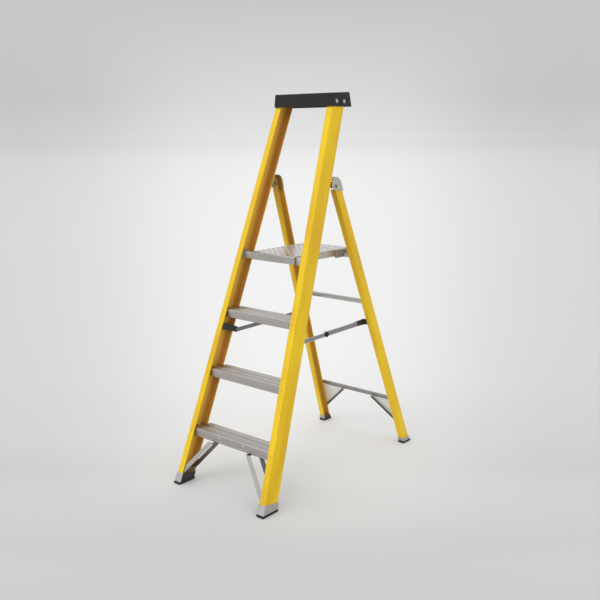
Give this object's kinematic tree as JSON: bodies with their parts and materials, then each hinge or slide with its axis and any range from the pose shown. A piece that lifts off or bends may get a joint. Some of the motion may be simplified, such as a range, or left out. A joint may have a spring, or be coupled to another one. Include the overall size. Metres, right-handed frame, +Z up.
{
  "type": "platform step ladder",
  "caption": "Free-standing step ladder with channel stiles, ribbed treads, a tilting work platform, a top cap and a rear frame that folds on hinged stays.",
  "frame": {"origin": "on the floor, in the middle of the footprint at bounding-box bottom centre", "axes": "+X to the right of someone facing the treads, +Y from the treads to the rear frame, +Z up"},
  "size_m": [0.5268, 1.068, 1.6525],
  "materials": {
    "grp_yellow": "pultruded glass-fibre channel, satin gloss",
    "aluminium": "mill-finish extruded and pressed aluminium",
    "shoe_alloy": "satin foot bracket",
    "black_nylon": "moulded black nylon",
    "black_cap": "moulded, fine grain",
    "black_steel": "black powder coat",
    "rubber_black": "moulded rubber",
    "zinc_steel": "zinc-plated"
  },
  "bodies": {
    "front_frame": {"front_stile_left": "grp_yellow", "front_stile_right": "grp_yellow", "tread_1": "aluminium", "tread_2": "aluminium", "tread_3": "aluminium", "tread_brace_left": "aluminium", "tread_brace_right": "aluminium", "pivot_lug_left": "aluminium", "pivot_lug_right": "aluminium", "platform_hanger_left": "aluminium", "platform_hanger_right": "aluminium", "platform_mount_left": "aluminium", "platform_mount_right": "aluminium", "front_shoe_left": "shoe_alloy", "front_shoe_right": "shoe_alloy", "top_cap": "black_cap", "stay_bracket_front_left": "black_nylon", "stay_bracket_front_right": "black_nylon", "front_sole_left": "rubber_black", "front_sole_right": "rubber_black", "platform_pin_left": "zinc_steel", "platform_pin_right": "zinc_steel", "stay_pin_front_left": "zinc_steel", "stay_pin_front_right": "zinc_steel", "cap_bolt_left_front": "zinc_steel", "cap_bolt_left_rear": "zinc_steel", "cap_bolt_right_front": "zinc_steel", "cap_bolt_right_rear": "zinc_steel"},
    "platform": {"platform_deck": "aluminium", "platform_stiffener": "aluminium", "platform_hook_left": "black_steel", "platform_hook_right": "black_steel"},
    "stay_front_arm_left": {"stay_front_arm_left": "aluminium", "knuckle_head_left": "black_steel"},
    "stay_rear_arm_left": {"stay_rear_arm_left": "aluminium", "knuckle_tail_left": "black_steel"},
    "stay_front_arm_right": {"stay_front_arm_right": "aluminium", "knuckle_head_right": "black_steel"},
    "stay_rear_arm_right": {"stay_rear_arm_right": "aluminium", "knuckle_tail_right": "black_steel"},
    "rear_frame": {"rear_stile_left": "grp_yellow", "rear_stile_right": "grp_yellow", "rear_crossbar_lower": "aluminium", "rear_crossbar_upper": "aluminium", "platform_support_bar": "aluminium", "pivot_bracket_left": "aluminium", "pivot_bracket_right": "aluminium", "rear_gusset_left": "aluminium", "rear_gusset_right": "aluminium", "rear_shoe_left": "shoe_alloy", "rear_shoe_right": "shoe_alloy", "stay_bracket_rear_left": "black_steel", "stay_bracket_rear_right": "black_steel", "rear_sole_left": "rubber_black", "rear_sole_right": "rubber_black", "pivot_bolt_left": "zinc_steel", "pivot_bolt_right": "zinc_steel", "stay_pin_rear_left": "zinc_steel", "stay_pin_rear_right": "zinc_steel"}
  },
  "joints": [
    {"name": "rear_fold", "type": "hinge", "parent": "front_frame", "child": "rear_frame", "pos_m": [0, 0.0327, 1.264], "axis": [-1, 0, 0], "range_deg": [0, 38.4]},
    {"name": "platform_tilt", "type": "hinge", "parent": "front_frame", "child": "platform", "pos_m": [0, -0.1463, 0.966], "axis": [1, 0, 0], "range_deg": [0, 70.05]},
    {"name": "stay_front_hinge_left", "type": "hinge", "parent": "front_frame", "child": "stay_front_arm_left", "pos_m": [-0.1822, -0.2063, 0.635], "axis": [-1, 0, 0], "range_deg": [0, 103.53]},
    {"name": "stay_rear_hinge_left", "type": "hinge", "parent": "rear_frame", "child": "stay_rear_arm_left", "pos_m": [-0.1778, 0.1837, 0.6385], "axis": [1, 0, 0], "range_deg": [0, 125.9]},
    {"name": "stay_front_hinge_right", "type": "hinge", "parent": "front_frame", "child": "stay_front_arm_right", "pos_m": [0.1822, -0.2063, 0.635], "axis": [-1, 0, 0], "range_deg": [0, 103.53]},
    {"name": "stay_rear_hinge_right", "type": "hinge", "parent": "rear_frame", "child": "stay_rear_arm_right", "pos_m": [0.1778, 0.1837, 0.6385], "axis": [1, 0, 0], "range_deg": [0, 125.9]}
  ],
  "couplings": [
    {"joint": "platform_tilt", "follows": "rear_fold", "ratio": 1.8229},
    {"joint": "stay_front_hinge_left", "follows": "rear_fold", "ratio": 2.6949},
    {"joint": "stay_rear_hinge_left", "follows": "rear_fold", "ratio": 3.2774},
    {"joint": "stay_front_hinge_right", "follows": "rear_fold", "ratio": 2.6949},
    {"joint": "stay_rear_hinge_right", "follows": "rear_fold", "ratio": 3.2774}
  ]
}
